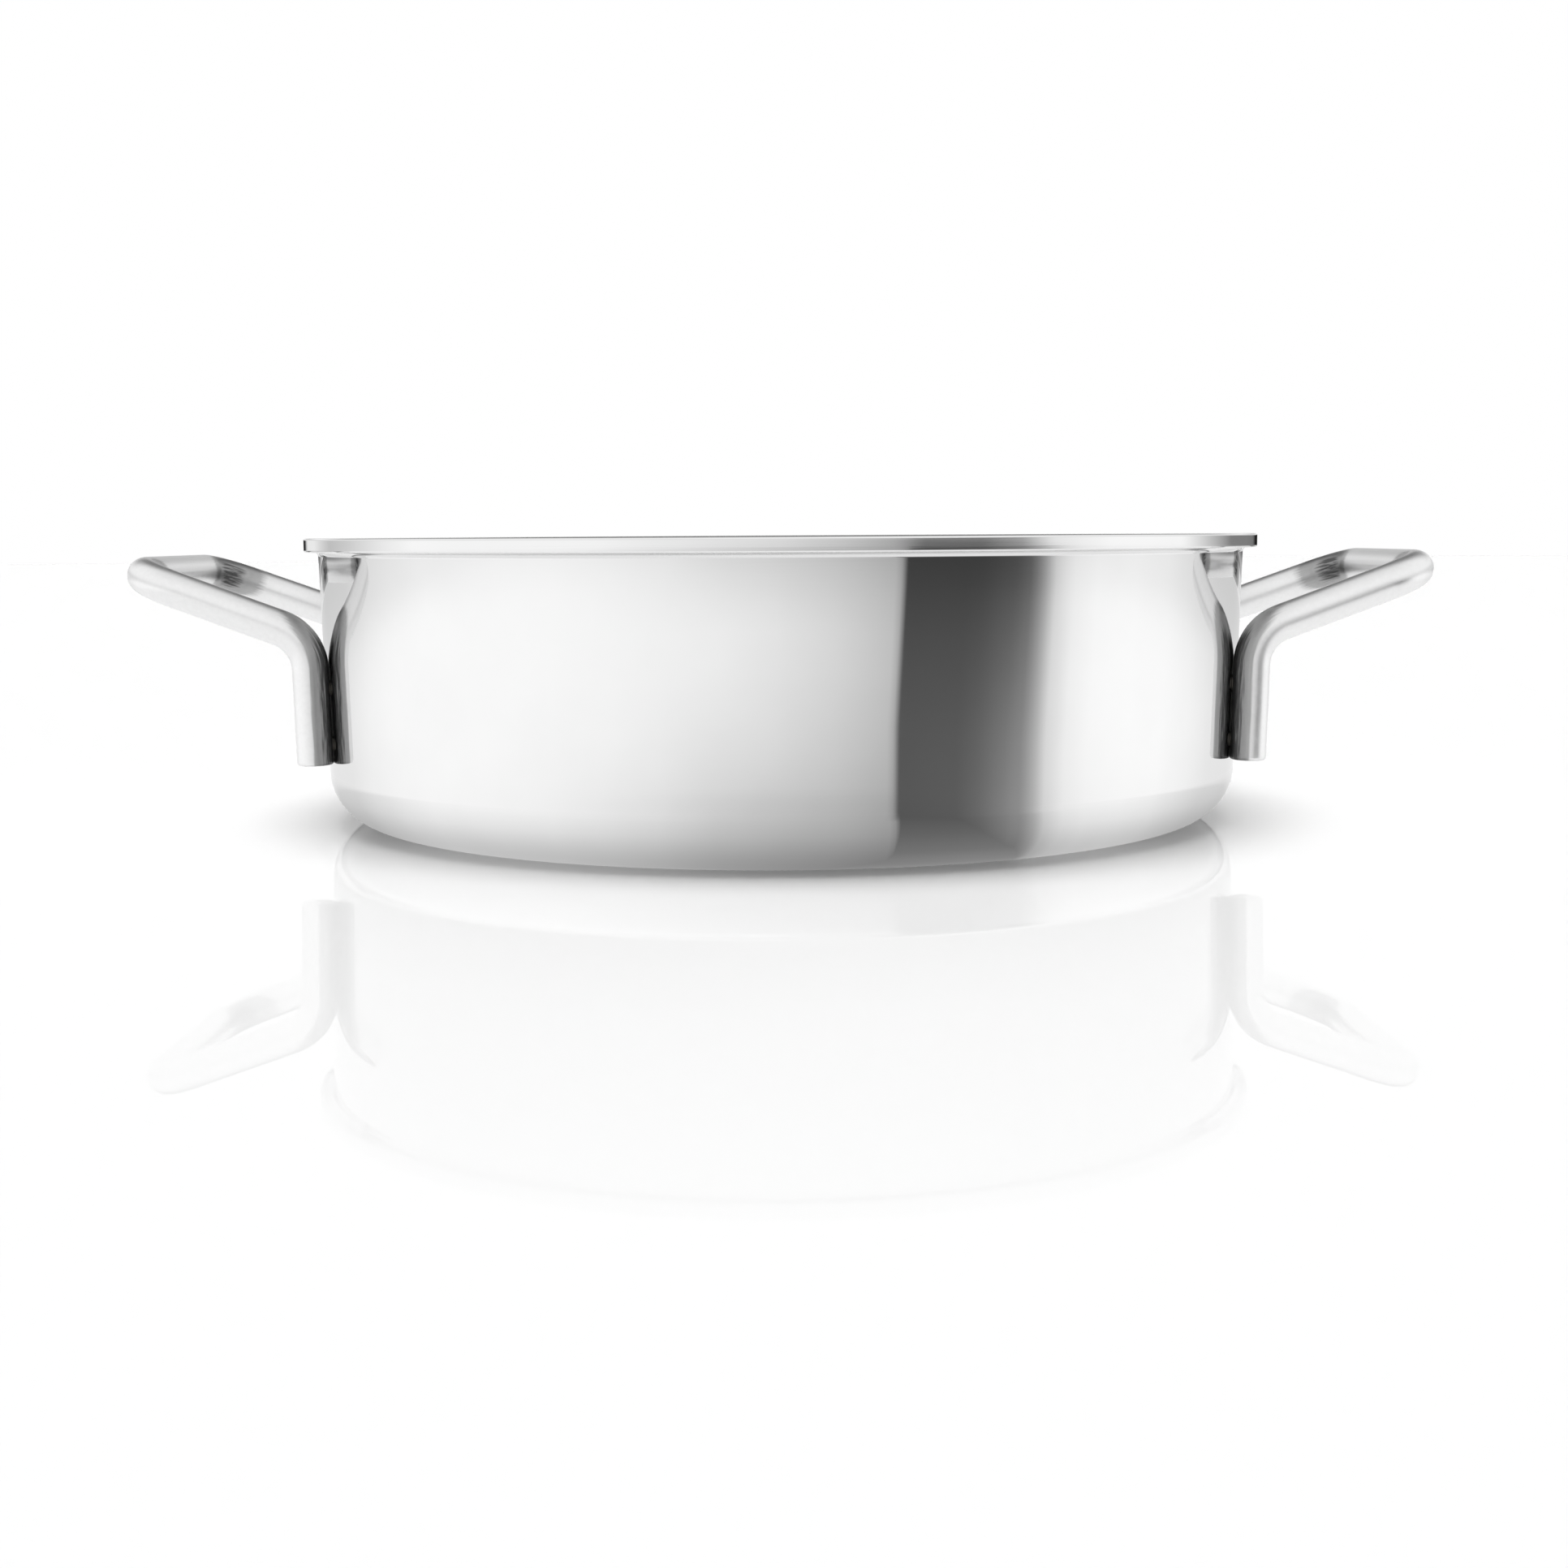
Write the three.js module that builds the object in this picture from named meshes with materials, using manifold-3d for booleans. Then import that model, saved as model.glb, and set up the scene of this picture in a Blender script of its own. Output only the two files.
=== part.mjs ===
// Saute pan of three bonded metal layers, with two loop handles of bent rod welded to the wall.
// Millimetres, +Z up. The base stands on z = 0, +X runs through the right handle, -Y faces the viewer.
import * as THREE from 'three';
import { mergeVertices } from 'three/addons/utils/BufferGeometryUtils.js';
import Module from 'manifold-3d';

const wasm = await Module();
wasm.setup();

// Bowl
const panHeight = 74.6;
const rimRadius = 126;
const rimOverhang = 3.6; // rim's edge beyond the wall just under it
const wallTaper = THREE.MathUtils.degToRad(1.5); // the wall leans outward
const cornerRadius = 14.2; // outside, between the base and the wall
const rimBendRadius = 1.2; // outside, between the wall and the rim's underside

// Layers of the sheet, from the outside in
const shellThickness = 0.6;
const coreThickness = 2.1;
const linerThickness = 0.6;
const bondLine = 0.1; // left between two layers
const lipThickness = 1.2; // edge of the liner, turned down over the rim
const lipRounding = 0.5;

// Handles
const rodDiameter = 9.2;
const legSpread = 84; // between the axes of a handle's two legs
const tipSpread = 77; // between the axes of its two arms, at the outer corners
const handleReach = 37.4; // from the rim's edge to the axis of the cross bar
const tipHeight = 65.6; // axis of the cross bar
const kneeHeight = 49.6; // where the axes of leg and arm cross
const legFoot = 17.5; // lower end of each leg
const kneeBend = 11.5; // radius of the rod's axis, from leg to arm
const tipBend = 12; // radius of the rod's axis, from arm to cross bar
const legFlat = 0.5; // depth of the flat that faces the wall
const footRounding = 0.8;

// Welds
const weldDiameter = 4.4;
const weldThickness = 0.3;
const weldSeat = 0.05; // left between a weld and what it joins
const weldInset = 5; // from either end of the straight leg

// Fineness of the round shapes
const bowlSides = 64;
const cornerSteps = 6;
const rimBendSteps = 3;
const lipSteps = 2;
const rodSides = 18;
const rodStep = 3; // along the rod
const footSteps = 3;
const weldSides = 16;

// Bare metals
const polishedSteel = { color: 0xd6d6d3, roughness: 0.14 };
const brushedSteel = { color: 0xc9c9c6, roughness: 0.3 };
const satinSteel = { color: 0xd6d6d3, roughness: 0.25 };
const bareAluminium = { color: 0xb7b9bb, roughness: 0.5 };
const weldedSteel = { color: 0xa9a8a4, roughness: 0.4 };

// Sizes that follow
const sheetThickness = shellThickness + bondLine + coreThickness + bondLine + linerThickness;
const rimUnderside = panHeight - sheetThickness;
const coreRimRadius = rimRadius - lipThickness - bondLine;
const wallTopRadius = rimRadius - rimOverhang;
const tipReach = rimRadius + handleReach;
const rodRadius = rodDiameter / 2;
const weldGap = weldThickness + 2 * weldSeat;
const legStandOff = weldGap + rodRadius - legFlat; // wall to the leg's axis
const taperSlope = Math.tan(wallTaper);
const wallNormal = new THREE.Vector2(Math.cos(wallTaper), -Math.sin(wallTaper));

// Outside radius of the wall at a height
function wallRadius(height) {
  return wallTopRadius - (rimUnderside - height) * taperSlope;
}

// Points on an arc in the profile plane, from one direction to the other
function arcPoints(centre, radius, fromAngle, toAngle, steps) {
  const points = [];
  for (let i = 0; i <= steps; i++) {
    const angle = THREE.MathUtils.lerp(fromAngle, toAngle, i / steps);
    points.push(new THREE.Vector2(centre.x + radius * Math.cos(angle), centre.y + radius * Math.sin(angle)));
  }
  return points;
}

// Line of the sheet at a depth below its outer face: base, corner, wall, bend and rim, out to endRadius
function sheetLine(depth, endRadius) {
  const cornerTop = cornerRadius + cornerRadius * wallNormal.y;
  const baseRadius = wallRadius(cornerTop) - cornerRadius * wallNormal.x;
  const cornerCentre = new THREE.Vector2(baseRadius, cornerRadius);
  const bendStart = rimUnderside - rimBendRadius - rimBendRadius * wallNormal.y;
  const bendRadius = wallRadius(bendStart) + rimBendRadius * wallNormal.x;
  const bendCentre = new THREE.Vector2(bendRadius, rimUnderside - rimBendRadius);
  return [
    new THREE.Vector2(0, depth),
    ...arcPoints(cornerCentre, cornerRadius - depth, -Math.PI / 2, -wallTaper, cornerSteps),
    ...arcPoints(bendCentre, rimBendRadius + depth, Math.PI - wallTaper, Math.PI / 2, rimBendSteps),
    new THREE.Vector2(endRadius, rimUnderside + depth),
  ];
}

// Solid of revolution about +Z from a profile of radius and height
function turned(profile, sides) {
  const geometry = new THREE.LatheGeometry(profile, sides);
  geometry.rotateX(Math.PI / 2);
  return geometry;
}

// One layer of the sheet, cut off square behind the lip
function layer(outerDepth, thickness) {
  const outside = sheetLine(outerDepth, coreRimRadius);
  const inside = sheetLine(outerDepth + thickness, coreRimRadius);
  return turned([...outside, ...inside.reverse()], bowlSides);
}

// The innermost layer, whose edge is turned down over the rim to seal the other two
function linerWithLip() {
  const lipInside = rimRadius - lipThickness;
  const outside = sheetLine(sheetThickness - linerThickness, lipInside);
  const inside = sheetLine(sheetThickness, rimRadius - lipRounding);
  const edge = rimRadius - lipRounding;
  const lower = new THREE.Vector2(edge, rimUnderside + lipRounding);
  const upper = new THREE.Vector2(edge, panHeight - lipRounding);
  return turned([
    ...outside,
    new THREE.Vector2(lipInside, rimUnderside),
    ...arcPoints(lower, lipRounding, -Math.PI / 2, 0, lipSteps),
    ...arcPoints(upper, lipRounding, 0, Math.PI / 2, lipSteps).slice(0, -1),
    ...inside.reverse(),
  ], bowlSides);
}

// A round bend of the rod's axis
class BendCurve extends THREE.Curve {
  constructor(centre, fromSpoke, toSpoke) {
    super();
    this.centre = centre;
    this.fromSpoke = fromSpoke;
    this.toSpoke = toSpoke;
    this.angle = fromSpoke.angleTo(toSpoke);
  }

  getPoint(t, target = new THREE.Vector3()) {
    const fromShare = Math.sin((1 - t) * this.angle) / Math.sin(this.angle);
    const toShare = Math.sin(t * this.angle) / Math.sin(this.angle);
    return target
      .copy(this.centre)
      .addScaledVector(this.fromSpoke, fromShare)
      .addScaledVector(this.toSpoke, toShare);
  }
}

// Straight runs between corners, each corner rounded by its own radius
function bentAxis(corners, radii) {
  const path = new THREE.CurvePath();
  let start = corners[0];
  for (let i = 1; i < corners.length - 1; i++) {
    const back = corners[i - 1].clone().sub(corners[i]).normalize();
    const ahead = corners[i + 1].clone().sub(corners[i]).normalize();
    const halfAngle = back.angleTo(ahead) / 2;
    const setBack = radii[i - 1] / Math.tan(halfAngle);
    const bisector = back.clone().add(ahead).normalize();
    const centre = corners[i].clone().addScaledVector(bisector, radii[i - 1] / Math.sin(halfAngle));
    const bendStart = corners[i].clone().addScaledVector(back, setBack);
    const bendEnd = corners[i].clone().addScaledVector(ahead, setBack);
    path.add(new THREE.LineCurve3(start, bendStart));
    path.add(new BendCurve(centre, bendStart.clone().sub(centre), bendEnd.clone().sub(centre)));
    start = bendEnd;
  }
  path.add(new THREE.LineCurve3(start, corners[corners.length - 1]));
  return path;
}

function solidFrom(geometry) {
  const bare = geometry.clone();
  bare.deleteAttribute('normal');
  bare.deleteAttribute('uv');
  const merged = mergeVertices(bare);
  return new wasm.Manifold(new wasm.Mesh({
    numProp: 3,
    vertProperties: new Float32Array(merged.attributes.position.array),
    triVerts: new Uint32Array(merged.index.array),
  }));
}

function geometryFrom(solid) {
  const mesh = solid.getMesh();
  const geometry = new THREE.BufferGeometry();
  geometry.setAttribute('position', new THREE.BufferAttribute(new Float32Array(mesh.vertProperties), 3));
  geometry.setIndex(new THREE.BufferAttribute(new Uint32Array(mesh.triVerts), 1));
  geometry.computeVertexNormals();
  return geometry;
}

const kneeRadius = wallRadius(kneeHeight) + legStandOff / wallNormal.x;
const legAzimuth = Math.asin(legSpread / 2 / kneeRadius);

// Point on the axis of the leg at an azimuth about the pan
function legPoint(azimuth, height) {
  const radius = wallRadius(height) + legStandOff / wallNormal.x;
  return new THREE.Vector3(radius * Math.cos(azimuth), radius * Math.sin(azimuth), height);
}

// Frame of a leg: X away from the wall, Z up along the leg
function legFrame(azimuth, height) {
  const away = new THREE.Vector3(
    wallNormal.x * Math.cos(azimuth), wallNormal.x * Math.sin(azimuth), wallNormal.y);
  const up = new THREE.Vector3(
    -wallNormal.y * Math.cos(azimuth), -wallNormal.y * Math.sin(azimuth), wallNormal.x);
  const across = up.clone().cross(away);
  const frame = new THREE.Matrix4().makeBasis(away, across, up);
  return frame.setPosition(legPoint(azimuth, height));
}

// What is ground off one leg: the side that faces the wall, and the edge of its lower end
function legCuts(azimuth) {
  const flatDepth = rodDiameter;
  const flatHeight = 2 * (kneeHeight - legFoot);
  const flat = new THREE.BoxGeometry(flatDepth, 2 * rodDiameter, 2 * flatHeight);
  flat.translate(legFlat - rodRadius - flatDepth / 2, 0, 0);
  const edgeCentre = new THREE.Vector2(rodRadius - footRounding, footRounding);
  const ring = turned([
    new THREE.Vector2(rodRadius - footRounding, -footRounding),
    new THREE.Vector2(rodDiameter, -footRounding),
    new THREE.Vector2(rodDiameter, footRounding),
    ...arcPoints(edgeCentre, footRounding, 0, -Math.PI / 2, footSteps),
    new THREE.Vector2(rodRadius - footRounding, -footRounding),
  ], rodSides);
  const foot = legFrame(azimuth, legFoot);
  return [flat.applyMatrix4(foot), ring.applyMatrix4(foot)];
}

// Handle on the +X side: leg, knee, arm, cross bar and back again, in one bent rod
function bentHandle() {
  const axis = bentAxis([
    legPoint(-legAzimuth, legFoot),
    legPoint(-legAzimuth, kneeHeight),
    new THREE.Vector3(tipReach, -tipSpread / 2, tipHeight),
    new THREE.Vector3(tipReach, tipSpread / 2, tipHeight),
    legPoint(legAzimuth, kneeHeight),
    legPoint(legAzimuth, legFoot),
  ], [kneeBend, tipBend, tipBend, kneeBend]);
  const section = new THREE.Shape();
  section.absarc(0, 0, rodRadius, 0, 2 * Math.PI);
  const rod = new THREE.ExtrudeGeometry(section, {
    steps: Math.ceil(axis.getLength() / rodStep),
    curveSegments: rodSides / 2,
    extrudePath: axis,
  });
  let solid = solidFrom(rod);
  for (const azimuth of [-legAzimuth, legAzimuth]) {
    for (const cut of legCuts(azimuth)) {
      solid = solid.subtract(solidFrom(cut));
    }
  }
  return geometryFrom(solid);
}

// Weld between a leg and the wall, as a round nugget
function weldNugget(azimuth, height) {
  const nugget = new THREE.CylinderGeometry(weldDiameter / 2, weldDiameter / 2, weldThickness, weldSides);
  nugget.rotateZ(-Math.PI / 2);
  nugget.translate(legFlat - rodRadius - weldGap / 2, 0, 0);
  return nugget.applyMatrix4(legFrame(azimuth, height));
}

function named(name, geometry, metal) {
  const mesh = new THREE.Mesh(geometry, new THREE.MeshStandardMaterial({ ...metal, metalness: 1 }));
  mesh.name = name;
  return mesh;
}

const pan = new THREE.Group();

const coreDepth = shellThickness + bondLine;
pan.add(named('outer_shell', layer(0, shellThickness), polishedSteel));
pan.add(named('aluminium_core', layer(coreDepth, coreThickness), bareAluminium));
pan.add(named('inner_liner', linerWithLip(), brushedSteel));

const handle = bentHandle();
const rightHandle = named('right_handle', handle, satinSteel);
const leftHandle = named('left_handle', handle.clone(), satinSteel);
leftHandle.rotation.z = Math.PI;
pan.add(rightHandle, leftHandle);

const armStart = new THREE.Vector3(tipReach, tipSpread / 2, tipHeight).sub(legPoint(legAzimuth, kneeHeight));
const legEnd = legPoint(legAzimuth, legFoot).sub(legPoint(legAzimuth, kneeHeight));
const straightTop = kneeHeight - kneeBend / Math.tan(armStart.angleTo(legEnd) / 2);
const weldHeights = { lower: legFoot + weldInset, upper: straightTop - weldInset };
const legAzimuths = {
  right_front: -legAzimuth,
  right_rear: legAzimuth,
  left_front: Math.PI + legAzimuth,
  left_rear: Math.PI - legAzimuth,
};
for (const [leg, azimuth] of Object.entries(legAzimuths)) {
  for (const [level, height] of Object.entries(weldHeights)) {
    pan.add(named(`${leg}_${level}_weld`, weldNugget(azimuth, height), weldedSteel));
  }
}

export default pan;
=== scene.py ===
import math

import bmesh
import bpy
from mathutils import Matrix, Vector


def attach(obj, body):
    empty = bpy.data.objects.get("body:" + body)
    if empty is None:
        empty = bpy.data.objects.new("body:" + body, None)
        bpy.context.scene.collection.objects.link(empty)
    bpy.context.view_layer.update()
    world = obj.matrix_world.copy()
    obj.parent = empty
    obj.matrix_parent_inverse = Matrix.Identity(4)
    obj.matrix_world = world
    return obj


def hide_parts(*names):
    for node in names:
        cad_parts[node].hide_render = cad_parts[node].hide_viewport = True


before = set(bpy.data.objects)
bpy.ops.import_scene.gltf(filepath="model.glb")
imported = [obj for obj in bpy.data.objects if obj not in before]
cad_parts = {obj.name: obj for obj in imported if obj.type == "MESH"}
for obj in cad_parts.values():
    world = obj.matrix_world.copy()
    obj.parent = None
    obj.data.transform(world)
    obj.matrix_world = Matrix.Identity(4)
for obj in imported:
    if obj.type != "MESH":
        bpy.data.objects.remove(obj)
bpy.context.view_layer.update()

mm = 0.001
scene = bpy.context.scene
scene.view_settings.view_transform = "Standard"
print("frame loaded:", len(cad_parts), "nodes")


def hexToLinear(code):
    parts = [int(code[i:i + 2], 16) / 255 for i in (1, 3, 5)]
    curve = [p / 12.92 if p <= 0.04045 else ((p + 0.055) / 1.055) ** 2.4 for p in parts]
    return (*curve, 1.0)


def grey(value):
    return (value, value, value, 1.0)


def addNode(tree, kind, inputs=None, stops=None, **settings):
    node = tree.nodes.new("ShaderNode" + kind)
    for name, value in settings.items():
        setattr(node, name, value)
    for name, value in (inputs or {}).items():
        if isinstance(value, bpy.types.NodeSocket):
            tree.links.new(value, node.inputs[name])
        else:
            node.inputs[name].default_value = value
    if stops:
        ramp = node.color_ramp.elements
        while len(ramp) < len(stops):
            ramp.new(0.5)
        for element, (place, colour) in zip(ramp, stops):
            element.position = place
            element.color = colour
    return node


def newMaterial(name):
    material = bpy.data.materials.new(name)
    material.use_nodes = True
    material.node_tree.nodes.clear()
    return material, material.node_tree


# Camera

view = {
    "imageWidth": 1932,  # pixels
    "focalLength": 2662,  # pixels
    "place": (0, -588, 75.25),  # mm
    "downward": 0.1155,  # radians, like the next two
    "sideways": 0.000976,
    "roll": -0.00588,
    "sensorWidth": 36.0,  # mm
    "nearest": 10,  # mm
}


def placeCamera():
    data = bpy.data.cameras.new("photoCamera")
    data.sensor_width = view["sensorWidth"]
    data.lens = view["focalLength"] / view["imageWidth"] * view["sensorWidth"]
    data.clip_start = view["nearest"] * mm
    camera = bpy.data.objects.new("photoCamera", data)
    scene.collection.objects.link(camera)
    down, side, roll = view["downward"], view["sideways"], view["roll"]
    ahead = Vector((math.sin(side) * math.cos(down), math.cos(side) * math.cos(down), -math.sin(down)))
    level = Vector((math.cos(side), -math.sin(side), 0))
    upright = level.cross(ahead)
    right = math.cos(roll) * level + math.sin(roll) * upright
    up = math.cos(roll) * upright - math.sin(roll) * level
    turn = Matrix((right, up, -ahead)).transposed().to_4x4()
    camera.matrix_world = Matrix.Translation(Vector(view["place"]) * mm) @ turn
    scene.camera = camera


placeCamera()
print("camera placed")


# Studio: soft panels all round, with a dark gap to the right of the camera, and one soft lamp overhead

studio = {
    # azimuth in degrees from the camera's side, positive to the right, and brightness there
    "aroundPanels": [
        (-180, 0.95), (-150, 0.92), (-132, 1.02), (-119, 1.17), (-106, 1.25), (-92, 1.27), (-55, 1.27),
        (-40, 1.23), (-27, 1.19), (-13.6, 1.12), (0, 1.02), (13.6, 0.87), (27.8, 0.67), (29.2, 0.06),
        (48, 0.06), (57, 0.085), (61, 0.16), (64, 0.4), (67.5, 0.88), (73, 1.14), (80, 1.25), (93, 1.28),
        (106, 1.27), (119, 1.17), (131, 1.02), (150, 0.92), (180, 0.95),
    ],
    # the same in a narrow strip at the horizon, where the table ends
    "horizonPanels": [
        (-180, 0.01), (-158, 0.01), (-153, 0.9), (-144, 0.95), (-131, 0.62), (-119, 0.75),
        (-106, 0.96), (-93, 1.17), (-40, 1.12), (0, 0.85), (13.6, 0.67), (25, 0.47), (32, 0.18),
        (46, 0.18), (56, 0.4), (64, 0.98), (81, 1.18), (106, 1.15), (119, 0.62), (131, 0.24),
        (144, 0.23), (152, 0.2), (157, 0.01), (180, 0.01),
    ],
    "horizonStrip": (0.6, 1.3),  # degrees either side of the horizon, full and ended
    # brightness by degrees above the horizon
    "upperLight": [
        (0, 1), (3, 0.9), (5, 0.65), (8, 0.68), (10, 0.9), (14, 1.05), (40, 1.05), (60, 0.98), (90, 0.85),
    ],
    "upperBlend": (-0.5, 1.5),  # degrees of elevation where the panels give way to it
    "backShade": 0.16,  # brightness of the dark ceiling behind the pan
    "backShadeAzimuth": (120, 160),  # degrees from the camera's side, where it begins and is full
    "backShadeElevation": [(0, 0), (14, 0), (24, 1), (50, 1), (85, 0), (90, 0)],  # its share by degrees
    # brightness by degrees below the horizon, at the panels' middle and at their ends
    "middleFade": [
        (0, 0.8), (3, 0.9), (3.2, 0.93), (3.5, 0.965), (3.8, 0.985), (4.2, 1), (8, 1), (9, 0.985),
        (10.2, 0.96), (90, 0.955),
    ],
    "endFade": [
        (0, 0.5), (3.5, 0.68), (3.7, 0.74), (4, 0.81), (4.3, 0.875), (4.65, 0.915), (5, 0.955), (5.6, 1),
        (6.6, 1), (7.2, 0.97), (7.9, 0.94), (8.85, 0.875), (9.3, 0.82), (9.7, 0.78), (10.2, 0.69), (11, 0.64),
        (90, 0.62),
    ],
    # share of the end fade round the pan
    "ends": [
        (-180, 0.4), (-131, 0.4), (-119, 0.33), (-106, 0.2), (-93, 0.02), (-70, 0.05), (-54, 0.15),
        (-40, 0.3), (-27, 0.5), (-13.6, 0.85), (0, 1), (60, 1), (70, 0.08), (93, 0.08), (106, 0.2),
        (119, 0.38), (180, 0.4),
    ],
    # stray light from below, which shows in the gap: its share by degrees down, and its brightness all round
    "gapLift": [(0, 0), (3.5, 0.015), (6, 0.05), (8, 0.082), (10, 0.105), (90, 0.115)],
    "gapGlow": [(-180, 1), (29, 0.8), (44, 0.95), (50, 1.4), (58, 2.4), (63, 2.4), (70, 1), (180, 1)],
    "gapLean": (1.9, 3.7, 8),  # degrees that the gap leans, between these degrees below the horizon
    "lampAngle": 35,  # degrees that the lamp fills, as seen from the table
    "lampStrength": 2.8,  # watts per square metre
    "lampTilt": (4.7, -1.3),  # degrees towards the camera and to its left
    "fill": 0.22,  # what the table gets from all round
}


def ringRamp(tree, azimuth, stops):
    share = addNode(tree, "MapRange", {"Value": azimuth, "From Min": -math.pi, "From Max": math.pi})
    return addNode(
        tree, "ValToRGB", {"Fac": share.outputs[0]}, stops=[(a / 360 + 0.5, grey(v)) for a, v in stops])


def depthRamp(tree, sunk, stops):
    return addNode(
        tree, "ValToRGB", {"Fac": sunk}, stops=[(math.sin(math.radians(a)), grey(v)) for a, v in stops])


def panelsBelow(tree, straight, sunk):
    lean, leanFrom, leanTo = [math.radians(a) for a in studio["gapLean"]]
    leaning = addNode(tree, "MapRange", {
        "Value": sunk, "From Min": math.sin(leanFrom), "From Max": math.sin(leanTo), "To Max": lean})
    azimuth = addNode(tree, "Math", {0: straight, 1: leaning.outputs[0]}, operation="ADD").outputs[0]
    around = ringRamp(tree, azimuth, studio["aroundPanels"])
    fade = addNode(tree, "MixRGB", {
        "Fac": ringRamp(tree, azimuth, studio["ends"]).outputs[0],
        "Color1": depthRamp(tree, sunk, studio["middleFade"]).outputs[0],
        "Color2": depthRamp(tree, sunk, studio["endFade"]).outputs[0]})
    faded = addNode(tree, "MixRGB", {
        "Fac": 1.0, "Color1": around.outputs[0], "Color2": fade.outputs[0]}, blend_type="MULTIPLY")
    lift = depthRamp(tree, sunk, studio["gapLift"])
    return addNode(tree, "MixRGB", {
        "Fac": lift.outputs[0], "Color1": faded.outputs[0],
        "Color2": ringRamp(tree, azimuth, studio["gapGlow"]).outputs[0]}).outputs[0]


def buildStudio():
    world = bpy.data.worlds.new("softStudio")
    world.use_nodes = True
    world.cycles.sampling_method = "NONE"  # so that the tests on rays below hold
    tree = world.node_tree
    tree.nodes.clear()
    scene.world = world
    direction = addNode(tree, "TexCoord").outputs["Generated"]
    parts = addNode(tree, "SeparateXYZ", {"Vector": direction})
    toFront = addNode(tree, "Math", {0: parts.outputs["Y"], 1: -1.0}, operation="MULTIPLY")
    azimuth = addNode(tree, "Math", {0: parts.outputs["X"], 1: toFront.outputs[0]}, operation="ARCTAN2")
    horizon = ringRamp(tree, azimuth.outputs[0], studio["horizonPanels"])
    height = addNode(tree, "Math", {0: parts.outputs["Z"]}, operation="ARCSINE")
    offLevel = addNode(tree, "Math", {0: height.outputs[0]}, operation="ABSOLUTE")
    inStrip = addNode(tree, "MapRange", {
        "Value": offLevel.outputs[0],
        "From Min": math.radians(studio["horizonStrip"][1]),
        "From Max": math.radians(studio["horizonStrip"][0])})
    above = addNode(tree, "MapRange", {"Value": height.outputs[0], "From Max": math.pi / 2})
    upper, shadeHeight = [
        addNode(tree, "ValToRGB", {"Fac": above.outputs[0]}, stops=[(e / 90, grey(v)) for e, v in stops])
        for stops in (studio["upperLight"], studio["backShadeElevation"])]
    offFront = addNode(tree, "Math", {0: azimuth.outputs[0]}, operation="ABSOLUTE")
    behind = addNode(tree, "MapRange", {
        "Value": offFront.outputs[0],
        "From Min": math.radians(studio["backShadeAzimuth"][0]),
        "From Max": math.radians(studio["backShadeAzimuth"][1]),
    }, interpolation_type="SMOOTHSTEP")
    shadeShare = addNode(
        tree, "Math", {0: behind.outputs[0], 1: shadeHeight.outputs[0]}, operation="MULTIPLY")
    upperShaded = addNode(tree, "MixRGB", {
        "Fac": shadeShare.outputs[0], "Color1": upper.outputs[0], "Color2": grey(studio["backShade"])})
    sunk = addNode(tree, "Math", {0: parts.outputs["Z"], 1: -1.0}, operation="MULTIPLY")
    lower = panelsBelow(tree, azimuth.outputs[0], sunk.outputs[0])
    rays = addNode(tree, "LightPath")
    toUpper = addNode(tree, "MapRange", {
        "Value": height.outputs[0],
        "From Min": math.radians(studio["upperBlend"][0]),
        "From Max": math.radians(studio["upperBlend"][1]),
    }, interpolation_type="SMOOTHSTEP")
    whole = addNode(tree, "MixRGB", {
        "Fac": toUpper.outputs[0], "Color1": lower, "Color2": upperShaded.outputs[0]})
    room = addNode(tree, "MixRGB", {
        "Fac": inStrip.outputs[0], "Color1": whole.outputs[0], "Color2": horizon.outputs[0]})
    fromTable = addNode(  # any ray that has left the table's white
        tree, "Math", {0: rays.outputs["Diffuse Depth"], 1: 0.5}, operation="GREATER_THAN")
    filled = addNode(tree, "MixRGB", {
        "Fac": fromTable.outputs[0], "Color1": room.outputs[0], "Color2": grey(studio["fill"])})
    seenPlain = addNode(tree, "Math", {  # straight from the camera, or by way of the table's mirror image
        0: rays.outputs["Is Camera Ray"], 1: rays.outputs["Is Singular Ray"]}, operation="MAXIMUM")
    colour = addNode(tree, "MixRGB", {
        "Fac": seenPlain.outputs[0], "Color1": filled.outputs[0], "Color2": grey(1)})
    background = addNode(tree, "Background", {"Color": colour.outputs[0]})
    addNode(tree, "OutputWorld", {"Surface": background.outputs[0]})
    lampData = bpy.data.lights.new("overheadLamp", "SUN")
    lampData.angle = math.radians(studio["lampAngle"])
    lampData.energy = studio["lampStrength"]
    lamp = bpy.data.objects.new("overheadLamp", lampData)
    lamp.location = (0, 0, 1)
    lamp.rotation_euler = [math.radians(a) for a in (*studio["lampTilt"], 0)]
    lamp.visible_glossy = False  # the metal shows the panels, not this lamp
    scene.collection.objects.link(lamp)


buildStudio()
print("studio lit")


# Table: white acrylic sheet, polished, so it keeps a faint mirror image and a soft shadow

table = {
    "radius": 6000,  # mm
    "sides": 96,
    "drop": 0.2,  # mm under the base
    "white": "#f4f4f4",
    "acrylicIor": 1.49,
    "polish": 0.52,  # share of the gloss that perfectly smooth acrylic has
    "softness": 30,  # mm that light spreads inside the sheet
    "seenSteeper": (13, 20),  # degrees down, where metal begins to show the table and shows it in full
    "seenAbove": (14.2, 17),  # mm of height of the metal, likewise
    "paintedGlowBelow": (14.5, 12.5),  # mm of height of the metal, where the table's painted emission near the base begins and is full
    # brightness of that painted emission by mm of height of the metal that shows it, and the least that it
    # has
    "baseFade": [(0, 0.48), (2, 0.56), (3.3, 0.6), (5, 0.66), (7, 0.75), (9.3, 0.86), (11.7, 0.94), (14, 1)],
    "baseLeast": [(0, 0.32), (3.3, 0.27), (5, 0.225), (7, 0.2), (9.3, 0.168), (11.7, 0.142), (14, 0.115)],
    # times the azimuth by which the wall's curve turns the panels' image, and more for each radian of it
    "turnedBy": (2.13, 0.16),
}


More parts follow.
